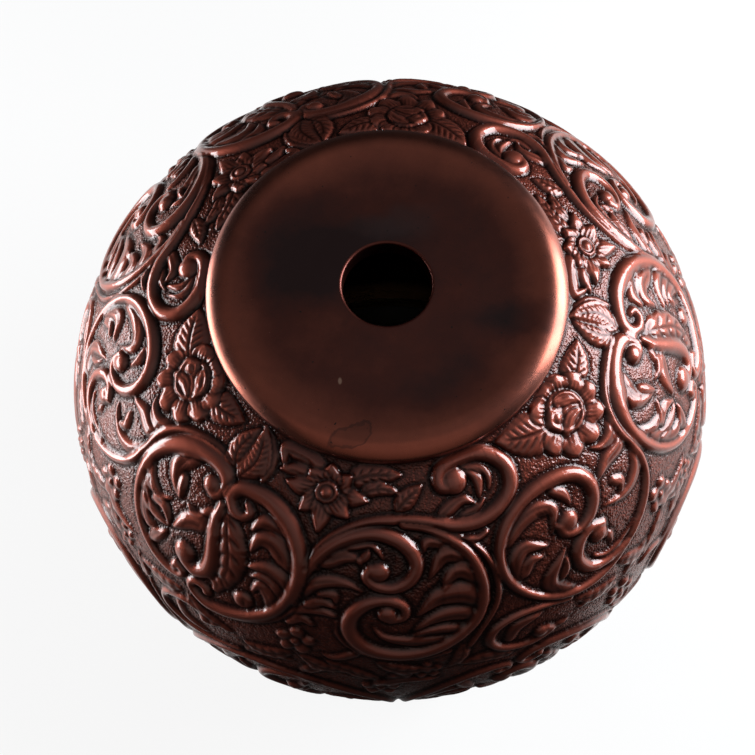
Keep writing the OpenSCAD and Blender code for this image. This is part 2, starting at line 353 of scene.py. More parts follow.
# %% One panel of blank sheet
MARGIN = 150
panel_start = radians(205)
az_line = panel_start + np.arange(-MARGIN, panel_columns + MARGIN) * turn_step
raised = np.zeros((ROWS + 1, len(az_line)))
chased = np.zeros_like(raised)
covered = np.zeros_like(raised)
print("panel of", raised.shape, "cells")

# %% The sheet near a curve
def smooth_path(points, per=8):
    """A soft curve through given points."""
    p = np.array(points, float)
    if len(p) == 2:
        return p[0] + np.linspace(0, 1, per)[:, None] * (p[1] - p[0])
    p = np.vstack([2 * p[0] - p[1], p, 2 * p[-1] - p[-2]])
    t = np.linspace(0, 1, per, endpoint=False)[:, None]
    runs = [0.5 * (2 * b + (c - a) * t + (2 * a - 5 * b + 4 * c - d) * t ** 2
                   + (3 * b - a - 3 * c + d) * t ** 3)
            for a, b, c, d in zip(p[:-3], p[1:-2], p[2:-1], p[3:])]
    return np.vstack(runs + [p[-2:-1]])


def window_round(path, reach):
    """The rows and columns of the panel within reach of a path."""
    pad = 1.2 * reach / ring_radius(path[:, 1]).min() + 2 * turn_step
    left, right = np.searchsorted(az_line, [path[:, 0].min() - pad, path[:, 0].max() + pad])
    top, low = np.searchsorted(-lat_line, [-path[:, 1].max() - pad, -path[:, 1].min() + pad])
    return slice(top, low), slice(left, right)


def reach_of(path, reach):
    """For the sheet near a path: its window, the place along the path, the signed distance and the length."""
    window = window_round(path, reach)
    az, lat = az_line[window[1]], lat_line[window[0]]
    near = np.full((len(lat), len(az)), 1e9)
    along, side = np.zeros_like(near), np.ones_like(near)
    move = np.diff(path, axis=0)
    length = np.hypot(*move.T) * ring_radius((path[:-1, 1] + path[1:, 1]) / 2)
    ends = np.concatenate(([0], np.cumsum(length)))
    for k in range(len(move)):
        rows, cols = window_round(path[k:k + 2], reach)
        rows = slice(rows.start - window[0].start, rows.stop - window[0].start)
        cols = slice(cols.start - window[1].start, cols.stop - window[1].start)
        x, y = az[None, cols] - path[k, 0], lat[rows, None] - path[k, 1]
        t = np.clip((x * move[k, 0] + y * move[k, 1]) / max(move[k] @ move[k], 1e-14), 0, 1)
        gap = (x - t * move[k, 0]) ** 2 + (y - t * move[k, 1]) ** 2
        closer = gap < near[rows, cols]
        near[rows, cols][closer] = gap[closer]
        along[rows, cols][closer] = (ends[k] + t * length[k])[closer]
        side[rows, cols][closer] = np.where(move[k, 0] * y - move[k, 1] * x < 0, -1, 1)[closer]
    distance = np.sqrt(near) * ring_radius(lat)[:, None] * side
    return window, along / ends[-1], distance, ends[-1]


def sheet_near(place, points, reach):
    """The same for a soft curve through points of the pattern."""
    return reach_of(smooth_path([place(*p) for p in points]), reach)


print("a curve through three points has", len(smooth_path([(0, 0), (1, 1), (2, 0)])), "places")

# %% Strike and cut
DEEPEST = -0.9


def strike(window, edge, height, groove=1.0, depth=0.75):
    """Raises the sheet inside an outline and chases a line round it; edge is mm outside the outline."""
    outside = np.maximum(edge, 0)
    inside = edge <= 0
    cut_line = np.where(inside, 0, np.exp(-(outside / groove) ** 2))
    sunk = np.maximum(raised[window] - depth * cut_line * np.clip(outside / 0.3, 0, 1), DEEPEST)
    raised[window] = np.where(inside, np.maximum(raised[window], height), sunk)
    chased[window] = np.where(inside, chased[window] * np.clip(1 + edge, 0, 1),
                              np.maximum(chased[window], cut_line))
    covered[window] = np.maximum(covered[window], np.clip(0.5 - edge / 0.8, 0, 1))


def cut(window, depth, lines, dark=0.9):
    """Cuts lines into what is already raised."""
    raised[window] -= depth * lines
    chased[window] = np.maximum(chased[window], dark * lines)


def fading(value, none, full):
    """A share that grows from 0 to 1 between two values."""
    return np.clip((value - none) / (full - none), 0, 1)


print("chased lines are at most", -DEEPEST, "mm deep")

# %% Tools: scroll and lobe
motifs = []


def tool(work):
    """Makes a chasing tool: to call it is to list a motif, which is worked later at each of its places."""
    return lambda *how: motifs.append((work, how))


@tool
def scroll(place, points, widths, height, knobs=()):
    """A rolled ridge whose ends may swell to knobs."""
    window, u, d, _ = sheet_near(place, points, max(widths) / 2 + 7)
    half = np.interp(u, np.linspace(0, 1, len(widths)), widths) / 2
    edge = np.abs(d) - half
    q = np.clip(np.abs(d) / half, 0, 1)
    rise = height * (2 * half / max(widths)) ** 0.5 * (1 - q ** 2.4)
    for at, size, top in knobs:
        centre = place(*at)
        x = az_line[window[1]][None, :] - centre[0]
        y = lat_line[window[0]][:, None] - centre[1]
        off = np.hypot(x, y) * ring_radius(centre[1])
        edge = np.minimum(edge, off - size / 2)
        rise = np.maximum(rise, top * np.sqrt(np.clip(1 - (2 * off / size) ** 2, 0, 1)))
    strike(window, edge, rise)


@tool
def lobe(place, points, width, height=1.9):
    """A fleshy lobe that grows out of a scroll and ends in a point, with one crease along it."""
    window, u, d, _ = sheet_near(place, points, width / 2 + 3)
    half = width / 2 * np.sin(pi * np.clip(0.24 + 0.76 * u, 0, 0.999) ** 0.9) ** 0.85 + 0.1
    q = np.clip(np.abs(d) / half, 0, 1)
    rise = height * (0.75 + 0.25 * np.sin(pi * u)) * (1 - q ** 2) ** 0.9
    strike(window, np.abs(d) - half, rise)
    fade = fading(u, 0.8, 0.6) * fading(u, 0.05, 0.2)
    crease = np.exp(-((d - 0.2 * half) / (0.08 * width + 0.25)) ** 2)
    cut(window, 0.5, crease * fade * (np.abs(d) < 0.8 * half), 0.6)


print("tools: scroll and lobe")

# %% Tools: leaf and petals
@tool
def leaf(place, points, width, veins, height=2.0):
    """A leaf with a midrib, veins and a toothed edge."""
    window, u, d, length = sheet_near(place, points, width / 2 + 3)
    away = np.abs(d)
    spacing = 0.8 * length / veins
    tooth = ((u * length - 0.5 * away) / spacing) % 1
    half = width / 2 * np.sin(pi * np.clip(u, 0.002, 0.998) ** 0.75) ** 0.8 + 0.15
    half = half * (0.93 + 0.1 * tooth)
    q = np.clip(away / half, 0, 1)
    rise = height * (0.6 + 0.4 * np.sin(pi * u)) * (1 - q ** 2.2) ** 0.75
    strike(window, away - half, rise)
    fade = fading(u, 0.9, 0.75) * fading(u, 0, 0.08)
    rib = np.exp(-(d / 0.7) ** 2) * fade
    beat = np.abs(((u * length - 0.9 * away) / spacing) % 1 - 0.5) * spacing
    vein = np.exp(-(beat / (0.17 * spacing)) ** 2) * fading(q, 0.1, 0.2) * fading(q, 0.72, 0.52)
    cut(window, 0.8, np.maximum(rib, 0.9 * vein * fade) * (away < half), 0.95)


@tool
def petals(place, at, ways, inner, width, height, pointed, lines):
    """Petals round a middle, given as (angle, reach); pointed or round, with hatched feet."""
    centre = place(*at)
    scale = ring_radius(centre[1])
    for angle, reach in ways:
        way = np.array([cos(radians(angle)), sin(radians(angle)) * place.up])
        path = smooth_path([centre + way * inner / scale, centre + way * reach / scale])
        window, u, d, _ = reach_of(path, width / 2 + 3)
        away = np.abs(d)
        if pointed:
            half = width / 2 * np.sin(pi * np.clip(0.24 + 0.76 * u, 0, 0.999) ** 0.85) ** 0.8 + 0.1
        else:
            foot = 0.5 + 0.5 * np.sin(pi / 2 * np.clip(u / 0.6, 0, 1))
            half = width / 2 * foot * np.sqrt(1 - fading(u, 0.5, 1) ** 2.2) + 0.05
        q = np.clip(away / half, 0, 1)
        strike(window, away - half, height * (0.6 + 0.4 * np.clip(1.6 * u, 0, 1)) * (1 - q ** 2.6) ** 0.8)
        if lines:
            spacing = 0.62 * width / lines
            beat = np.abs((d / spacing) % 1 - 0.5) * spacing
            feet = np.exp(-(beat / (0.2 * spacing)) ** 2) * fading(u, 0.66, 0.46)
            cut(window, 0.6, feet * fading(q, 0.75, 0.6) * (away < half), 0.9)


print("tools: leaf and petals")

# %% Tools: boss, line and hatch
@tool
def boss(place, at, size, height, rim=0):
    """A round boss: a dome, or with a rim a flat disc inside a raised ring."""
    centre = place(*at)
    window, _, d, _ = reach_of(np.array([centre, centre + 1e-6]), size / 2 + 3)
    away = np.abs(d)
    q = np.clip(2 * away / size, 0, 1)
    if rim:
        strike(window, away - size / 2, height * (1 - q ** 8) ** 0.5)
        cut(window, 0.9, np.clip((size / 2 - rim - away) / 0.8, 0, 1), 0)
        cut(window, 0.3, np.exp(-((away - size / 2 + rim + 0.5) / 0.6) ** 2), 0.9)
    else:
        strike(window, away - size / 2, height * np.sqrt(1 - q ** 2))


@tool
def line(place, points, width, depth):
    """A line cut with a chasing tool, deepest in its middle."""
    window, u, d, _ = sheet_near(place, points, width + 2)
    taper = np.sqrt(np.clip(4 * u * (1 - u), 0, 1))
    cut(window, depth, np.exp(-(d / (width * (0.35 + 0.35 * taper))) ** 2) * taper)


def hatch(starts, ends, count, width=0.9, depth=0.5):
    """A row of short cut lines between two edges, each edge given by its two ends."""
    for k in range(count):
        t = k / (count - 1)
        a, b = [tuple(p + (q - p) * t for p, q in zip(*edge)) for edge in (starts, ends)]
        line([a, b], width, depth)


print("tools: boss, line and hatch")

# %% [markdown]
# ## The pattern of one panel
# Read from the photograph, a panel holds a lyre of two C-scrolls with a leaf on top, a star flower, a
# large medallion, a rolled scroll with a knob, a heart of scrolls and a rose with two leaves. What lies
# behind is laid first: lobes and leaves, then flowers, then the scrolls that hold them together.

# %% Lyre: lobes and leaves
lobe([(219.2, 28.5), (217.2, 35.5), (217.6, 43), (221.8, 51.5)], 10)
lobe([(219.8, 41.5), (220.8, 46), (221.8, 50.8)], 4.2, 2.2)
hatch([(216.9, 34.6), (219.2, 35.2)], [(216.5, 41), (218.9, 41.4)], 4)
lobe([(211.6, 51), (213.6, 56.4), (217.4, 58.6), (220.4, 53.4)], 6.5)
lobe([(212.4, 59), (215.2, 65.4), (219.2, 67.4), (223.6, 65.4)], 6.5)
lobe([(217, 61.4), (219.8, 60.2), (222.8, 65.6)], 5.5)
lobe([(214.4, 67), (217.2, 73.6), (220.6, 74.4), (222.7, 69)], 6.5)
lobe([(220.2, 81.8), (221.3, 75.6), (222.8, 69.2)], 7)
lobe([(229.5, 44.4), (227.2, 50.6), (223.4, 49.6)], 6.5)
lobe([(229.6, 51.6), (226, 55.2), (223.2, 65.4)], 9)
lobe([(246.8, 40), (243.6, 34.2), (240, 35), (238.4, 41)], 9.5)
lobe([(248.4, 49), (244.4, 41.4), (240.8, 42.2), (239.6, 50)], 9.5)
lobe([(248.8, 65), (247.6, 57), (244, 53.6), (239.4, 57)], 9)
lobe([(248.2, 69), (246, 61.4), (243.2, 58.4), (241, 61)], 7)
lobe([(246.8, 75), (246, 67.4), (243.4, 62.6), (242.2, 69)], 6.5)
boss((241.1, 75), 9, 2.3)
line([(241.3, 72.4), (241.7, 77.4)], 1.0, 0.8)
lobe([(236.6, 88), (240.2, 85), (243.8, 79.8)], 5.5)
leaf([(231.8, 39), (234.8, 50), (236.8, 62), (236.2, 80)], 15, 5, 2.3)
lobe([(233.8, 72.4), (235.8, 74.6), (235.2, 80)], 6.5)
print(len(motifs), "motifs with the lyre")

# %% Medallion: lobes and leaves
lobe([(253.4, 45.5), (255.8, 38.4), (260, 33.8), (264.8, 32.8), (267.6, 39.4)], 5.6, 2.0)
lobe([(255.4, 43), (258.8, 38.8), (261.8, 39.2), (262.7, 43)], 6)
lobe([(262.6, 39.4), (263.6, 36.8), (264.2, 34.2)], 4, 2.1)
hatch([(267.6, 31.6), (268.4, 40)], [(269.4, 31), (270.2, 40.4)], 6)
lobe([(250.9, 62.6), (252.6, 55.4), (256.2, 51), (260.2, 50.6), (263.4, 53.8)], 7)
lobe([(255.2, 57.8), (257.8, 56.8), (258.4, 61.8)], 4)
lobe([(250.8, 70.6), (252.6, 66.8), (256, 66), (259.4, 68.4)], 6)
lobe([(250.2, 76.6), (252.4, 72.6), (255, 75.8)], 5)
lobe([(253.2, 63.6), (256, 61.2), (258.8, 63.8)], 4.6)
lobe([(283.4, 40), (280.6, 34), (276.8, 32.4), (275.6, 37.6)], 7.5)
lobe([(285.2, 47), (283.2, 40.6), (279.8, 39.8), (276.4, 48.6)], 8.5)
lobe([(286, 54.6), (284, 48.4), (281.4, 48.2), (278.2, 57)], 7.5)
hatch([(277.6, 50.6), (274.8, 53.8)], [(279, 52.6), (276.6, 57)], 4)
lobe([(286.2, 65), (282.6, 58.6), (277.8, 58.2), (273.2, 66.2)], 11)
lobe([(284.6, 71.6), (280.4, 67.6), (276.4, 68.8), (272.4, 74.4)], 8)
lobe([(281.4, 77), (277.4, 75), (273.6, 76), (270.8, 80)], 5.6)
lobe([(277.8, 81), (272.6, 80.4), (267.6, 77.4), (265.2, 71)], 6.5)
print(len(motifs), "motifs with the medallion")

# %% Knob scroll and heart: lobes and leaves
lobe([(287.6, 6.4), (290.8, 8), (292.7, 12.8), (291.4, 21.6)], 5.6)
lobe([(290.4, 5.8), (294.2, 8.8), (295.6, 14), (294.2, 20)], 3.6, 1.6)
lobe([(280.4, 24.8), (284, 20.6), (287.4, 19), (290.6, 22.8)], 6)
lobe([(285.6, 26.2), (289.4, 25), (292.8, 21.4)], 4.6, 1.6)
lobe([(293.4, 43), (297.4, 37.8), (302, 36.4), (305.6, 40.6), (303.1, 50.2)], 8)
hatch([(301.8, 37), (304.6, 37.6)], [(302.6, 40.4), (305, 40.6)], 4)
lobe([(307.7, 33.2), (309.4, 38), (309.6, 44)], 5)
hatch([(310.8, 36), (311, 45.6)], [(312.6, 35), (312.8, 46)], 6, 0.8, 0.4)
lobe([(293.8, 61), (294.6, 53), (297, 49.4), (301.8, 53.8)], 7.5)
lobe([(295.2, 61), (297, 56.2), (300, 57.2)], 5)
lobe([(303, 86), (300.2, 78), (299.6, 70), (304.5, 59.6)], 9)
hatch([(299.6, 73), (302, 73)], [(300.4, 80), (302.6, 79)], 4)
lobe([(301.8, 72.8), (303.2, 68.6), (303.9, 63.2)], 4.4, 2.1)
lobe([(328.6, 38.4), (326, 42.8), (321.8, 42.6), (316.8, 45.4)], 8)
lobe([(329.8, 33.2), (326.2, 37.2), (323, 36.6), (320.6, 32.8)], 6)
lobe([(328.4, 50), (326, 58), (321.4, 61.6), (315, 56.4)], 6.6)
lobe([(320, 51.6), (321.2, 56), (319.4, 59)], 5)
scroll([(309, 74.2), (311.4, 78.6), (315.4, 79.4), (319.4, 76.8)], (2.2, 3, 1.4), 1.9)
lobe([(312.3, 67.6), (313.5, 71.6), (313, 76.6)], 4.4)
print(len(motifs), "motifs with the heart")

# %% Sprays between the bands
for points in ([(229.6, 95), (225.6, 100), (219.6, 101)], [(230.8, 95), (234.8, 100), (240.8, 101)],
               [(251.4, 98), (247.4, 103), (242.4, 104)], [(253, 98), (257, 103), (262, 104)],
               [(266, 95), (270, 100.6), (276, 101)], [(303, 92), (306.6, 97.6), (312, 98.6)],
               [(313, 90), (315.8, 96.6), (319.8, 102.6)]):
    leaf(points, 8, 4)
leaf([(326.6, 92), (322.4, 98), (317, 106)], 7, 4)
leaf([(327.4, 92), (331, 98), (335.6, 104)], 7, 4)
lobe([(289.6, 95), (291.4, 88.6), (296.4, 86.8)], 6.5)
leaf([(281.4, 88), (280.8, 95.5), (278.4, 103)], 7, 4)
lobe([(206, 88), (211, 92), (217, 91)], 6)
lobe([(262.6, 89), (259, 94), (256.4, 92)], 5)
for at, turn, reach, inner, width, height, knob, top in (
        ((251.8, 87.6), 18, 8.6, 1.5, 7, 1.8, 4.6, 2.3), ((326.6, 84.6), 54, 8.6, 1.5, 7, 1.8, 4.6, 2.3),
        ((214.6, 99.6), 54, 6.6, 1.2, 5.4, 1.5, 3.6, 2.0)):
    petals(at, [(turn + 72 * k, reach) for k in range(5)], inner, width, height, False, 0)
    boss(at, knob, top)
print(len(motifs), "motifs with the sprays")

# %% Star flower and rose
lobe([(249.6, 6.6), (244, 2.8), (237.4, 4), (240, 11)], 8)
lobe([(247.2, 11), (243, 9), (238, 11.6)], 6.5)
leaf([(256.6, 9), (263, 4.6), (272.4, 4.2)], 9.5, 5)
leaf([(260.6, 12.4), (266, 9.6), (271.8, 11.6)], 5.5, 3)
leaf([(270.2, 18.6), (273.4, 13.4), (277.8, 9)], 8, 4)
petals((252.3, 13.6), [(-4, 16.4), (44, 12.4), (92, 12.4), (140, 12), (183, 16.6), (228, 12.6), (270, 15.6),
                       (318, 12.8)], 3.4, 8.8, 2.3, True, 3)
boss((252.3, 13.6), 9, 2.7, 1.2)
boss((252.3, 13.6), 5, 2.9)
leaf([(318.8, 13.6), (311, 9.4), (301.6, 3.4)], 18, 6, 2.4)
leaf([(329.2, 10), (335.6, 8.8), (343, 5.6)], 13, 5, 2.2)
petals((322.8, 14.6), [(a, 17) for a in (-158, -122, -86, -50, -14, 22, 58, 94, 130)], 7, 10.6, 2.2, False, 4)
boss((322.8, 14.6), 17.6, 2.7, 1.6)
scroll([(318.2, 16.4), (317.4, 12.6), (319.6, 9.8), (321.8, 11.2)], (3.4, 4.4, 2.4), 2.7,
       [((319.6, 12.8), 5, 2.9)])
lobe([(323.4, 9.2), (326.4, 12.2), (327.4, 17)], 5.4, 2.4)
lobe([(319, 20), (322.4, 17.4), (326.6, 19.4)], 4.4, 2.4)
print(len(motifs), "motifs with the flowers")

# %% Thin scrolls
scroll([(229.2, 1.8), (233.4, 6.2), (235.9, 12.4), (235.8, 20)], (3, 6, 2.5), 1.7)
leaf([(229.4, 24.8), (226.6, 14.6), (228.2, 2.6)], 9.5, 6, 2.1)
leaf([(230.2, 25.2), (232.4, 13.4), (229.2, 0.8)], 10.5, 8, 2.4)
scroll([(282.5, 90), (285.6, 79.5), (288.4, 70), (289.8, 60), (289.6, 49.5), (287.8, 40.2), (284.6, 33),
        (280, 27.6)], (2.4, 3.2, 2.2), 2.0)
scroll([(286.2, 34.6), (288.2, 36), (290.4, 34.8)], (2.6, 3, 2.6), 2.0)
scroll([(258.8, 70), (259.2, 78), (262, 86), (267, 91.6), (273, 93), (279, 90.5)], (1.8, 2.6, 1.8), 1.7)
scroll([(251.6, 60), (249.8, 72), (246.2, 81), (240.6, 89), (234.5, 93.8)], (1.8, 2.8, 2), 1.8)
scroll([(302, 88.6), (297, 83.4), (291.8, 81.2), (288, 83.6), (286.2, 89.4), (286.8, 96), (289.6, 101.6),
        (293.6, 104), (297, 102), (296.4, 98.6)], (2.6, 5.2, 4), 2.4, [((295.2, 99.2), 7, 2.7)])
print(len(motifs), "motifs with the thin scrolls")

# %% Main scrolls
scroll([(286.4, 12.8), (283.2, 11.6), (282.6, 7.8), (284.6, 4.4), (289, 2.6), (294.5, 3.3), (299, 7.6),
        (301, 14.2), (299.6, 21.6), (295.6, 27), (290.2, 29.4), (285, 28.4), (280, 25.4), (275, 22.9),
        (270, 21.9), (265, 22.5), (260.2, 25.4), (256.2, 30.2), (253.2, 36.8), (251.4, 45)],
       (6, 7, 7.2, 6.6, 4.8, 4, 3.2), 3.0, [((286.5, 10.8), 10.6, 3.4)])
scroll([(264.6, 42.6), (263.8, 46.4), (265.6, 50.2), (269, 51.4), (272.5, 47.8), (274.1, 41.2), (272.9, 34.4),
        (269.6, 29.6), (265, 27.6), (260, 29.8), (256, 34.8), (253.2, 41.8), (251.8, 50), (251, 58),
        (250.6, 65)], (4.4, 6.4, 7.2, 6, 4.4, 3.2), 2.9, [((266.3, 44), 8.6, 3.1)])
scroll([(268.4, 67.6), (271, 65.6), (271, 60.8), (268.4, 57.4), (265, 58.4), (262, 63.6), (260.9, 71),
        (262, 79), (265.2, 85.8), (270, 88.8), (275.2, 87.2), (280.2, 82), (284.2, 74.5), (286.2, 66),
        (287, 56.5), (286.6, 47), (285, 38.8), (281.6, 31.6), (277, 26.4), (271.6, 24.2)],
       (4, 6.6, 8.2, 7.6, 5.8, 4.6, 3), 3.0, [((267.9, 64.2), 8.4, 3.1)])
scroll([(305.2, 48.6), (305.8, 53.4), (309, 56.2), (312.6, 53.6), (315, 47.6), (315.5, 40.6), (313.8, 34.2),
        (310, 29.8), (305, 28.4), (300, 29.9), (295.8, 34.2), (292.8, 40.8), (291.4, 49), (291.6, 58.5),
        (293.4, 67.5), (296.6, 76.4), (301, 83.4), (306.4, 87), (312, 86.2), (317.6, 82), (322.6, 75.2),
        (326.2, 67), (328, 58), (328.5, 49), (328.6, 41), (329.8, 33.2), (332.6, 27), (337, 22.8),
        (342, 20.8), (347.6, 21.2)], (4.4, 6.8, 6.8, 5, 4.4, 5, 5.2, 4.4, 4, 3.6), 2.9,
       [((307.4, 49), 9.4, 3.2)])
scroll([(313.4, 62.6), (310.6, 59.6), (307.6, 62), (305.9, 69), (307.2, 77.4), (310.8, 82), (316, 82.6)],
       (4.4, 6.6, 6.2, 3), 2.7, [((311.7, 65), 9, 3.1)])
scroll([(225.4, 36.4), (227.8, 37), (229.3, 33.6), (228.7, 28.8), (226, 25.6), (222, 25.3), (217.6, 28),
        (213.6, 34), (211.2, 42), (210.6, 51), (211.4, 61), (213.7, 71.5), (217.3, 80.5), (221.6, 86.2),
        (225.6, 87.8), (228.5, 86), (228.9, 82.2), (227, 80.8)], (4.4, 8, 9.2, 6.4, 5, 5.4, 5.6, 4), 2.9,
       [((226, 34.2), 8, 3.2), ((226.9, 82.8), 5, 2.4)])
scroll([(235.6, 31.8), (236.8, 34.4), (235.2, 37.6), (232.6, 36.6), (231.2, 32.2), (232.4, 27.4), (236, 25.2),
        (240.5, 25.6), (245.5, 30.4), (249, 39.3), (250.3, 50), (249.8, 60), (247.7, 71.5), (244.3, 80),
        (239, 87.6), (234.4, 90.2), (231.1, 86.5), (231.6, 82), (234, 81)],
       (3.4, 6.6, 8.2, 7, 6, 6.4, 6.4, 4), 2.9, [((234.4, 82.8), 5, 2.4)])
scroll([(230.4, 38.5), (230.7, 46), (231.9, 55), (233.1, 64), (233.0, 71), (231.0, 76), (228.4, 75)],
       (4, 6.6, 8.4, 7), 2.9, [((227.8, 71.2), 11, 3.2)])
print(len(motifs), "motifs in a panel")

# %% [markdown]
# ## Chase the panel and lay it round the belly
# The upper band is the one in the photograph. The lower band, out of sight, mirrors it half a panel on, as
# such drums are often chased. The three repeats drift by a few degrees and waver a little, because the
# pattern was placed by hand, and the stippled ground between the motifs is left rough.

# %% Chase one panel
LOWER_BORDER = 5.0
PANEL_TURN = 360 / PANELS
band_mirror = latitude(seam_slope) + latitude(bottom_slope + LOWER_BORDER / arc_r)


def placing(shift, lower):
    """A function that puts a place of the pattern on the sheet, turned by a shift and mirrored if lower."""
    def place(azimuth, down):
        turn, lat = spot(azimuth, down)
        return np.array([turn + radians(shift), band_mirror - lat if lower else lat])
    place.up = -1 if lower else 1
    return place


for lower in (True, False):
    for repeat in (-2, -1, 0, 1):
        here = placing((repeat + (0.5 if lower else 0)) * PANEL_TURN, lower)
        for work, how in motifs:
            work(here, *how)
print("raised from", round(raised.min(), 2), "to", round(raised.max(), 2), "mm")

# %% Lay three panels round
REPEAT_DRIFT = np.radians([0.0, 1.5, 3.5])
az_all = np.arange(columns) * turn_step
panel_turn = radians(PANEL_TURN)
since = (az_all - radians(210)) % (2 * pi)
drift = REPEAT_DRIFT[(since // panel_turn).astype(int) % PANELS]
drift = drift * np.sin(pi * (since % panel_turn) / panel_turn) ** 2
waver_az = radians(0.16) * np.sin(5 * az_all + 1.0) + radians(0.1) * np.sin(13 * az_all)
col_grid = ((az_all - drift + waver_az - panel_start) % panel_turn) / turn_step + MARGIN
row_waver = 0.7 * np.sin(4 * az_all + 0.5) + 0.5 * np.sin(11 * az_all + 2.0)
row_grid = np.clip(np.arange(ROWS + 1)[:, None] + row_waver[None, :], 0, ROWS - 1e-6)


def laid(field):
    """A panel's field, laid round the whole belly."""
    c0 = np.floor(col_grid).astype(int)
    r0 = np.floor(row_grid).astype(int)
    fc, fr = (col_grid - c0)[None, :], row_grid - r0
    top = field[r0, c0] * (1 - fc) + field[r0, c0 + 1] * fc
    low = field[r0 + 1, c0] * (1 - fc) + field[r0 + 1, c0 + 1] * fc
    return top * (1 - fr) + low * fr


for axis in (0, 1):
    raised = (raised + np.roll(raised, 1, axis) + np.roll(raised, -1, axis)) / 3
dark_line = np.maximum(laid(chased), np.exp(-(down_line / 1.3) ** 2)[:, None])
ground = 1 - laid(covered)
print("laid round as", dark_line.shape, "cells")

# %% Roughen and rub the relief
HEIGHT = 0.8
GROUND_DROP = 0.6
GRAIN, DENTS = 0.06, 0.2
FADE_TOP, FADE_LOW = 3.0, 5.0

grain = np.random.default_rng(7).normal(size=dark_line.shape)
grain = (grain + np.roll(grain, 1, 1) + np.roll(grain, 1, 0) + np.roll(grain, (1, 1), (0, 1))) / 2
dents = np.random.default_rng(11).normal(size=(24, 60))
dents = np.kron(dents, np.ones((16, 21)))[:ROWS + 1]
for _ in range(3):
    dents = (np.roll(dents, 8, 0) + np.roll(dents, -8, 0)
             + np.roll(dents, 10, 1) + np.roll(dents, -10, 1)) / 4
relief = HEIGHT * laid(raised) + GRAIN * grain * np.clip(ground, 0, 1) + DENTS * dents


def blurred(field, reach):
    """The mean of a field within a square of cells, taken twice."""
    for axis in (0, 1, 0, 1):
        field = sum(np.roll(field, k, axis) for k in range(-reach, reach + 1)) / (2 * reach + 1)
    return field


rubbed = np.clip(0.5 + (relief - blurred(relief, 4)) / 1.1, 0, 1)
fade = np.clip(down_line / FADE_TOP, 0, 1) * np.clip((down_line[-1] - down_line) / FADE_LOW, 0, 1)
lift = (relief - GROUND_DROP) * fade[:, None]
print("relief from", round(lift.min(), 2), "to", round(lift.max(), 2), "mm over the solid")

# %% [markdown]
# ## Antique copper
# The sheet was pickled dark and then rubbed back, so the ridges are bare reddish copper and the hollows and
# chased lines keep a brown-black skin. A thin lacquer gives the whole a soft gloss. The relief, the chased
# lines and the bare ground travel with the mesh as attributes, so the finish follows the work.

# %% Embossed copper
embossed_copper, g, shader, spots = new_finish("embossed_copper")
height, lines, bare, rub = (g.add("Attribute", {"attribute_name": name}).outputs["Fac"]
                            for name in ("relief", "chased", "ground", "rubbed"))
cloud = g.noise(spots, 22.0, 5.0, 0.6)
fleck = g.noise(spots, 900.0, 3.0, 0.6)
tone = g.total(-0.2, (rub, 0.8), (height, 0.35), (cloud, 0.4))
copper = g.ramp(tone, [(0.0, (0.030, 0.007, 0.005)), (0.3, (0.090, 0.020, 0.013)),
                       (0.6, (0.180, 0.040, 0.025)), (1.0, (0.275, 0.065, 0.041))])
stain = g.math("MULTIPLY", lines, g.remap(fleck, 0.35, 0.7, 0.75, 1.0))
colour = g.mix(stain, copper, (0.014, 0.004, 0.004, 1))
rough = g.total(g.remap(bare, to_low=0.50, to_high=0.56), (cloud, 0.12))
lacquer = g.math("MULTIPLY", g.remap(bare, to_low=1.0, to_high=0.7),
                 g.remap(stain, to_low=1.0, to_high=0.25))
punched = g.add("TexVoronoi", {"feature": "SMOOTH_F1"}, Vector=spots, Scale=1050.0,
                Smoothness=0.5).outputs["Distance"]
brushed = g.noise(spots, 260.0, 3.0)
bump = g.bump(g.total(g.math("MULTIPLY", punched, bare), (brushed, 0.08)), 0.45, 0.0007)
g.set(shader, Base_Color=colour, Metallic=1.0, Roughness=rough, Specular_Tint=(1, 0.76, 0.70, 1), Normal=bump,
      Coat_Weight=lacquer, Coat_Roughness=0.13, Coat_IOR=1.6, Coat_Normal=bump)
print("embossed copper:", len(embossed_copper.node_tree.nodes), "nodes")

# %% [markdown]
# ## The embossed belly
# The belly is spun in six tiles, each a sixth of the way round, so that no mesh grows too heavy. A tile's
# outer wall has a vertex about every 0.7 mm, moved in or out by the relief, and the inner wall is coarse.
# Bridging their edges closes the sheet. The normals come from the whole relief, so tiles meet unseen.

# %% Normals of the whole relief
slopes = slope_at(lat_line)
slant_r, slant_z = np.cos(slopes)[:, None], np.sin(slopes)[:, None]
skin_r = arc_centre_r + (arc_r + lift) * slant_r
skin_z = equator_z + (arc_r + lift) * slant_z
points = np.stack([skin_r * np.cos(az_all), skin_r * np.sin(az_all), skin_z + 0 * skin_r], -1)
round_way = np.roll(points, -1, 1) - np.roll(points, 1, 1)
down_way = np.gradient(points, axis=0)
facing = np.cross(down_way, round_way)
facing /= np.linalg.norm(facing, axis=-1, keepdims=True)
print("normals point outwards:", bool((facing * points * [1, 1, 0]).sum(-1).mean() > 0))

# %% A blank tile
COARSE = 10


def arc_strip(bm, radius, start):
    """A coarse strip of the belly's wall: an arc of vertices, spun through one tile's angle."""
    slope = slope_at(lat_line[::COARSE])
    r, z = arc_centre_r + radius * np.cos(slope), equator_z + radius * np.sin(slope)
    verts = [bm.verts.new((a * cos(start) * MM, a * sin(start) * MM, b * MM)) for a, b in zip(r, z)]
    edges = [bm.edges.new(pair) for pair in zip(verts, verts[1:])]
    bmesh.ops.spin(bm, geom=verts + edges, cent=(0, 0, 0), axis=(0, 0, 1), angle=2 * pi / TILES,
                   steps=TILE_COLUMNS // COARSE)


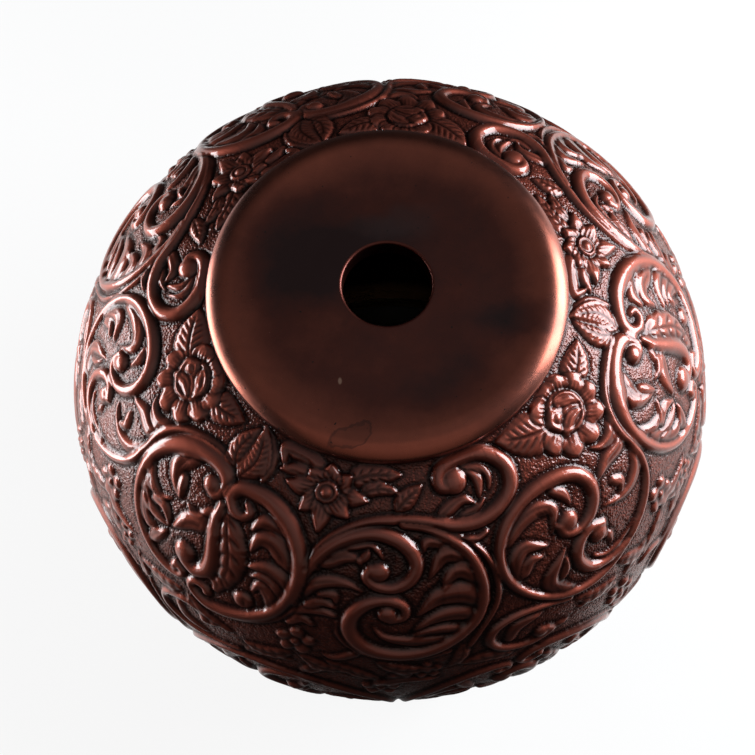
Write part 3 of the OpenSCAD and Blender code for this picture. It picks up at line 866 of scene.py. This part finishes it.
def blank_tile(start):
    """A closed piece of plain sheet with a fine outer wall and a coarse inner one."""
    bm = bmesh.new()
    arc_strip(bm, arc_r, start)
    outer_faces = list(bm.faces)
    arc_strip(bm, arc_r - sheet_t, start)
    bmesh.ops.bridge_loops(bm, edges=[edge for edge in bm.edges if edge.is_boundary])
    outer_edges = list({edge for face in outer_faces for edge in face.edges})
    bmesh.ops.subdivide_edges(bm, edges=outer_edges, cuts=COARSE - 1, use_grid_fill=True)
    bmesh.ops.recalc_face_normals(bm, faces=bm.faces)
    bmesh.ops.triangulate(bm, faces=[face for face in bm.faces if len(face.verts) > 4])
    return bm


print("a tile is spun in", TILE_COLUMNS // COARSE, "steps")

# %% Six tiles
def belly_tile(k):
    """A sixth of the belly, with its outer wall moved to the relief."""
    bm = blank_tile(2 * pi * k / TILES)
    tile = piece(f"belly_tile_{k + 1}", bm, embossed_copper, "drum", "embossed_copper", "belly_shell")
    mesh = tile.data
    co = np.empty(len(mesh.vertices) * 3)
    mesh.vertices.foreach_get("co", co)
    co = co.reshape(-1, 3) / MM
    out_r = np.hypot(co[:, 0], co[:, 1]) - arc_centre_r
    up = co[:, 2] - equator_z
    outer = np.hypot(out_r, up) > arc_r - sheet_t / 2
    col = np.rint((np.arctan2(co[:, 1], co[:, 0]) % (2 * pi)) / turn_step).astype(int) % columns
    lat = latitude(np.arctan2(up, out_r))
    row = np.rint((lat_line[0] - lat) / (lat_line[0] - lat_line[-1]) * ROWS).astype(int)
    row = np.clip(row, 0, ROWS)
    co[outer] = points[row[outer], col[outer]]
    mesh.vertices.foreach_set("co", (co * MM).ravel())

    level = np.clip((relief[row, col] + 0.5) / 2.2, 0, 1)
    for name, value in (("relief", level), ("rubbed", rubbed[row, col]), ("chased", dark_line[row, col]),
                        ("ground", ground[row, col])):
        layer = mesh.attributes.new(name, "FLOAT", "POINT")
        layer.data.foreach_set("value", (value * outer).astype(np.float32))
    slant = slant_r[row, 0]
    inward = -np.stack([slant * np.cos(az_all[col]), slant * np.sin(az_all[col]), slant_z[row, 0]], -1)
    normals = np.where(outer[:, None], facing[row, col], inward)
    mesh.polygons.foreach_set("use_smooth", [True] * len(mesh.polygons))
    mesh.update()
    mesh.normals_split_custom_set_from_vertices(normals.tolist())
    return tile


tiles = [belly_tile(k) for k in range(TILES)]
print(len(tiles), "tiles of", len(tiles[0].data.polygons), "faces")

# %% [markdown]
# ## The smooth base
# The base was spun on a lathe: a tight edge that stands in the seam, a soft shoulder and a nearly flat dish.
# It is one section spun once round, then pushed in and out by a fraction of a millimetre, because spun sheet
# is never quite true. The same copper is smooth here. It is lighter towards the rim, partly where hands have
# polished it and partly as a painted sheen. It has painted dark reflections in four patches and a painted
# grey reflection above the hole, and the few stains, the tide mark and the chip that the photograph shows.

# %% Smooth copper
def plain_copper(name, cloud_scale):
    """Smooth, clouded copper under a thin lacquer."""
    material, g, shader, spots = new_finish(name)
    cloud = g.noise(spots, cloud_scale, 6.0, 0.55, Distortion=0.4)
    copper = g.ramp(g.remap(cloud, 0.3, 0.72), [(0.0, (0.070, 0.018, 0.013)), (0.5, (0.125, 0.032, 0.023)),
                                               (1.0, (0.200, 0.053, 0.038))])
    rough = g.remap(g.noise(spots, 140.0, 4.0, 0.6), 0.3, 0.7, 0.33, 0.43)
    g.set(shader, Base_Color=copper, Metallic=1.0, Roughness=rough, Coat_Weight=0.3, Coat_Roughness=0.25,
          Normal=g.bump(g.noise(spots, 60.0, 4.0), 0.12, 0.0006))
    return material


def patch(g, spots, at, size, soft):
    """1 inside an oval patch of the base, given in mm, and 0 outside, with a soft edge."""
    off = g.vector("SUBTRACT", spots, (at[0] * MM, at[1] * MM, 0))
    off = g.vector("DIVIDE", off, (size[0] * MM, size[1] * MM, 1e6))
    return g.remap(g.vector("LENGTH", off), 1 - soft, 1 + soft, 1.0, 0.0, "SMOOTHSTEP")


smooth_copper = plain_copper("smooth_copper", 14.0)
print("smooth copper:", len(smooth_copper.node_tree.nodes), "nodes")

# %% Base copper
base_copper, g, shader, true_spots = new_finish("base_copper")
swirl = g.noise(true_spots, 28.0, 5.0, 0.6, "Color")
spots = g.vector("MULTIPLY_ADD", swirl, (0.024, 0.024, 0), true_spots)
spots = g.vector("SUBTRACT", spots, (0.012, 0.012, 0))
from_axis = g.vector("LENGTH", g.vector("MULTIPLY", true_spots, (1, 1, 0)))
# Lighter towards the rim: partly polish wear, partly a painted sheen for the light that the rim catches.
worn = g.remap(from_axis, 0.046, 0.066, kind="SMOOTHSTEP")
cloud = g.remap(g.noise(spots, 16.0, 6.0, 0.6), 0.3, 0.7, 0.22, 0.5)
mottle = g.noise(true_spots, 75.0, 5.0, 0.65)
tone = g.total(-0.18, (cloud, 1.0), (worn, 0.45), (mottle, 0.36))
# Four darker patches on the dish: painted dark reflections.
for at, size, soft, strength in (((-41, 18), (28, 23), 0.6, 0.32), ((-8, 8), (27, 22), 0.35, 0.22),
                                 ((52, -18), (17, 7), 0.6, 0.26), ((26, -46), (20, 12), 0.7, 0.20)):
    tone = g.total(tone, (patch(g, spots, at, size, soft), -strength))
colour = g.ramp(tone, [(0.0, (0.040, 0.010, 0.010)), (0.35, (0.130, 0.023, 0.012)),
                       (1.0, (0.450, 0.108, 0.058))])
print("tone of the base:", len(g.tree.nodes), "nodes")

# %% Stains on the base
TIDE_MARK = (-15, -64)

# A grey patch above the hole: a painted reflection.
bloom = patch(g, spots, (2.5, 28), (15, 6), 0.6)
colour = g.mix(g.math("MULTIPLY", bloom, 0.5), colour, (0.085, 0.050, 0.050, 1))
dried = patch(g, spots, TIDE_MARK, (8.2, 3.4), 0.05)
wetted = patch(g, spots, TIDE_MARK, (9.2, 4.3), 0.05)
specks = g.remap(g.noise(true_spots, 420.0, 2.0), 0.735, 0.76)
dark = g.total(specks, (g.math("SUBTRACT", wetted, dried), 0.5), (dried, 0.22))
over_floor = g.add("SeparateXYZ", None, true_spots).outputs["Z"]
seam = g.remap(over_floor, seam_z * MM, (seam_z + 1.6) * MM, 0.7, 0.0)
colour = g.mix(g.math("MAXIMUM", dark, seam), colour, (0.020, 0.008, 0.007, 1))
chip = patch(g, true_spots, (-19.4, -40.8), (0.7, 1.3), 0.4)
colour = g.mix(chip, colour, (0.50, 0.29, 0.21, 1))
rough = g.remap(g.noise(true_spots, 140.0, 4.0, 0.6), 0.3, 0.7, 0.25, 0.33)
g.set(shader, Base_Color=colour, Metallic=1.0, Roughness=rough, Coat_Weight=0.9, Coat_Roughness=0.32,
      Coat_IOR=1.45, Normal=g.bump(g.noise(true_spots, 60.0, 4.0), 0.12, 0.0006))
print("base copper:", len(base_copper.node_tree.nodes), "nodes")

# %% Section of the base
blend_r, shoulder_r, edge_r = 180.0, 12.0, 2.0
edge_reach = 0.75
hole_edge_r = 19.25
crest_z = dish_high.z / MM
dish_floor_z = lip_high.z / MM
dish_depth = crest_z - dish_floor_z
blend_turn = degrees(acos(1 - dish_depth / (shoulder_r + blend_r)))
edge_turn = degrees(acos(edge_reach))
shoulder = (seam_r - edge_r - edge_reach * (shoulder_r - edge_r), crest_z - shoulder_r)
edge = (seam_r - edge_r, shoulder[1] + (shoulder_r - edge_r) * sin(radians(edge_turn)))
blend_centre = (shoulder[0] - (shoulder_r + blend_r) * sin(radians(blend_turn)), dish_floor_z + blend_r)
face = [(seam_r, seam_z)] + arc_points(edge, edge_r, 0, edge_turn, 8)
face += arc_points(shoulder, shoulder_r, edge_turn, 90 + blend_turn, 24)[1:]
face += arc_points(blend_centre, blend_r, 270 + blend_turn, 270, 12)[1:]
face += [(blend_centre[0] + (hole_edge_r - blend_centre[0]) * k / 20, dish_floor_z) for k in range(1, 21)]
back = [(hole_edge_r, dish_floor_z - sheet_t)]
back += arc_points(blend_centre, blend_r + sheet_t, 270, 270 + blend_turn, 6)
back += arc_points(shoulder, shoulder_r - sheet_t, 90 + blend_turn, edge_turn, 12)[1:]
back += arc_points(edge, edge_r - sheet_t, edge_turn, 0, 4)[1:] + [(seam_r - sheet_t, seam_z)]
print("section of the base:", len(face + back), "points, dish", round(dish_depth, 2), "mm deep")

# %% Base disc
bm = spun(face + back, 240)
for vert in bm.verts:
    x, y, z = vert.co / MM
    r = sqrt(x * x + y * y)
    a = atan2(y, x)
    calm = min(1, max(0, (r - hole_edge_r) / 12)) * min(1, max(0, (seam_r - r) / 4))
    wave = 0.30 * sin(2 * a + 0.8) + 0.22 * sin(3 * a + 2.1) + 0.16 * sin(x / 9 + 1) * sin(y / 11)
    vert.co.z += MM * calm * 0.8 * wave
base_disc = piece("base_disc", bm, base_copper, "drum", "smooth_copper", "base_dish")
smooth(base_disc, 50)
print("base disc:", len(base_disc.data.polygons), "faces")

# %% [markdown]
# ## The sound hole's lining
# The sheet's raw edge is covered by a short tube with a rounded mouth, flush with the dish, and a flange
# soldered under it. Tube and flange are one section spun once round.

# %% Sound hole lining
hole_r = 18.0
mouth_chamfer = 0.3
tube_r = hole_r + sheet_t
tube_low = lip_low.z / MM
flange_r = lip_high.x / MM
flange_low, flange_top = dish_floor_z - 2 * sheet_t, dish_floor_z - sheet_t
section = arc_points((tube_r, dish_floor_z - sheet_t), sheet_t, 90, 180, 10)
section += [(hole_r, tube_low + mouth_chamfer), (hole_r + mouth_chamfer, tube_low), (tube_r, tube_low)]
section += [(tube_r, flange_low), (flange_r, flange_low), (flange_r, flange_top), (tube_r, flange_top)]
bm = spun(section, 160)
hole_lining = piece("sound_hole_lining", bm, smooth_copper, "drum", "smooth_copper", "sound_hole_collar")
smooth(hole_lining, 35)
print("sound hole lining:", len(hole_lining.data.polygons), "faces")

# %% [markdown]
# ## The head's hardware
# Under the belly a plain collar carries the head. A brass bearing ring, an aluminium flesh hoop, a tension
# ring and eight bolts stretch the film, and a lobed anchor ring takes the bolts' pull. Most of these solids
# already have their real shape, so they stay and only get a finish.

# %% Turned metals
def turned_metal(name, colour, rough, scale, streak):
    """A bare metal with fine turning marks round the drum's axis."""
    material, g, shader, spots = new_finish(name)
    squeezed = g.add("Mapping", None, Vector=spots, Scale=(0.02, 0.02, 1.0)).outputs[0]
    marks = g.noise(squeezed, scale, 4.0, 0.7)
    tone = g.total(g.noise(spots, 45.0, 4.0), (marks, streak))
    shade = g.ramp(tone, [(0.3, tuple(0.72 * c for c in colour)), (0.8, colour)])
    g.set(shader, Base_Color=shade, Metallic=1.0, Normal=g.bump(marks, 0.15, 0.0002),
          Roughness=g.remap(marks, 0.3, 0.7, rough - 0.06, rough + 0.08))
    return material


turned_brass = turned_metal("turned_brass", (0.60, 0.42, 0.18), 0.28, 900.0, 0.5)
hoop_aluminium = turned_metal("hoop_aluminium", (0.72, 0.73, 0.75), 0.38, 700.0, 0.4)
ring_steel = turned_metal("ring_steel", (0.56, 0.56, 0.57), 0.30, 800.0, 0.4)
bolt_steel = turned_metal("bolt_steel", (0.52, 0.52, 0.54), 0.32, 1200.0, 0.3)
print("turned metals:", len(bolt_steel.node_tree.nodes), "nodes each")

# %% Film, and finishes for the solids that stay
head_film, g, shader, spots = new_finish("head_film")
haze = g.noise(spots, 30.0, 5.0, 0.6)
grainy = g.noise(spots, 1600.0, 2.0)
g.set(shader, Base_Color=g.ramp(haze, [(0.3, (0.80, 0.79, 0.74)), (0.7, (0.88, 0.87, 0.83))]),
      Roughness=g.remap(grainy, to_low=0.38, to_high=0.55), Normal=g.bump(grainy, 0.1, 0.0001),
      Subsurface_Weight=0.15, Subsurface_Radius=(0.002, 0.002, 0.002))

for node, material in (("bearing_ring", turned_brass), ("drum_head", head_film),
                       ("flesh_hoop", hoop_aluminium), ("tension_ring", ring_steel),
                       ("anchor_ring", ring_steel), ("bolt_washers", bolt_steel)):
    nodes[node].data.materials.clear()
    nodes[node].data.materials.append(material)
print("finishes for", len(bpy.data.materials), "materials")

# %% [markdown]
# ## The collar
# The collar is a straight copper tube with a swaged bead that stops the anchor ring and a flare that runs
# into the belly. It is one section spun once round, with a chased line for a border.

# %% Collar
collar_r, collar_top_z, flare_r = 110.0, 50.9, 12.0
bead_z, bead_in_r = 34.0, 1.0
line_z, line_half, line_depth = 46.7, 0.7, 0.5
collar_z = collar_low.z / MM
inner_r = collar_r - sheet_t
bead, flare = (collar_r, bead_z), (collar_r + flare_r, collar_top_z)
flare_turn = degrees(asin((belly_bottom_z - collar_top_z) / flare_r))
section = [(collar_r, collar_z)] + arc_points(bead, bead_in_r + sheet_t, -90, 90, 16)
section += [(collar_r, line_z - line_half), (collar_r - line_depth, line_z), (collar_r, line_z + line_half)]
section += arc_points(flare, flare_r, 180, 180 - flare_turn, 14)
section += arc_points(flare, flare_r + sheet_t, 180 - flare_turn, 180, 8)
section += [(inner_r, bead_z + bead_in_r)] + arc_points(bead, bead_in_r, 90, -90, 8)
section += [(inner_r, bead_z - bead_in_r), (inner_r, collar_z)]
bm = spun(section, 240)
plain_collar = piece("plain_collar", bm, plain_copper("collar_copper", 20.0), "drum", "smooth_copper",
                     "head_collar")
smooth(plain_collar, 45)
print("collar:", len(plain_collar.data.polygons), "faces")

# %% [markdown]
# ## The tuning bolts
# A tuning bolt is a hexagon head on a threaded shank. The thread is a small wedge spun with a lift at every
# step, so that it climbs one pitch a turn, round a plain core. The head is a six-sided block with its
# upper corners bevelled.

# %% A threaded bolt
pitch, thread_r, root_r = 1.0, 2.95, 2.35
head_af, head_h = 10.0, 4.0
tip_h, tip_taper = 0.6, 0.35
THREAD_STEPS = 20
bolt_low, bolt_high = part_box("tuning_bolt_1")
tip_z, top_z = bolt_low.z / MM, bolt_high.z / MM
shank_top = top_z - head_h


def cone(bm, low, high, r1, r2, segments):
    """A closed cone or cylinder on the axis, in mm."""
    verts = bmesh.ops.create_cone(bm, cap_ends=True, segments=segments, radius1=r1 * MM, radius2=r2 * MM,
                                  depth=(high - low) * MM)["verts"]
    bmesh.ops.translate(bm, verts=verts, vec=(0, 0, (low + high) / 2 * MM))


def bevelled(bm, edges, offset, segments):
    bmesh.ops.bevel(bm, geom=edges, affect="EDGES", offset=offset * MM, segments=segments, profile=0.5,
                    material=-1)


def threaded_bolt():
    """One bolt on the drum's axis, at the height where it belongs."""
    bm = bmesh.new()
    corner_r = head_af / 2 / cos(pi / 6)
    cone(bm, shank_top, top_z, corner_r, corner_r, 6)
    bevelled(bm, [e for e in bm.edges if all(v.co.z > (top_z - 0.1) * MM for v in e.verts)], 0.7, 3)
    bevelled(bm, [e for e in bm.edges if abs(e.verts[0].co.z - e.verts[1].co.z) > 2 * MM], 0.25, 2)
    cone(bm, tip_z, tip_z + tip_h, root_r - tip_taper, root_r, 24)
    cone(bm, tip_z + tip_h, shank_top, root_r, root_r, 24)
    turns = int(shank_top - tip_z - 1.4)
    foot_r = root_r - 0.15
    wedge = [bm.verts.new((r * MM, 0, (tip_z + tip_h + z) * MM)) for r, z in
             ((foot_r, 0.02), (thread_r, 0.42), (thread_r, 0.56), (foot_r, 0.96))]
    bmesh.ops.spin(bm, geom=[bm.faces.new(wedge)], cent=(0, 0, 0), axis=(0, 0, 1),
                   dvec=(0, 0, pitch / THREAD_STEPS * MM), angle=2 * pi * turns, steps=THREAD_STEPS * turns)
    bmesh.ops.recalc_face_normals(bm, faces=bm.faces)
    return bm


master_bolt = threaded_bolt()
print("one bolt:", len(master_bolt.faces), "faces")

# %% Eight bolts
BOLTS = 8
bolt_circle = 124.5


def tuning_bolt(k):
    """A copy of the master bolt at its place on the bolts' circle."""
    bm = master_bolt.copy()
    turn = Matrix.Rotation(2 * pi / BOLTS * (k + 0.5), 4, "Z")
    bmesh.ops.transform(bm, matrix=turn @ Matrix.Translation((bolt_circle * MM, 0, 0)), verts=bm.verts)
    bolt = piece(f"threaded_bolt_{k + 1}", bm, bolt_steel, f"bolt_{k + 1}", "bolt_steel",
                 f"tuning_bolt_{k + 1}")
    smooth(bolt, 30)
    return bolt


bolts = [tuning_bolt(k) for k in range(BOLTS)]
print(len(bolts), "bolts of", len(bolts[0].data.polygons), "faces")

# %% [markdown]
# The dressed drum has to keep to the box of the solids, apart from what the raised ornament adds.
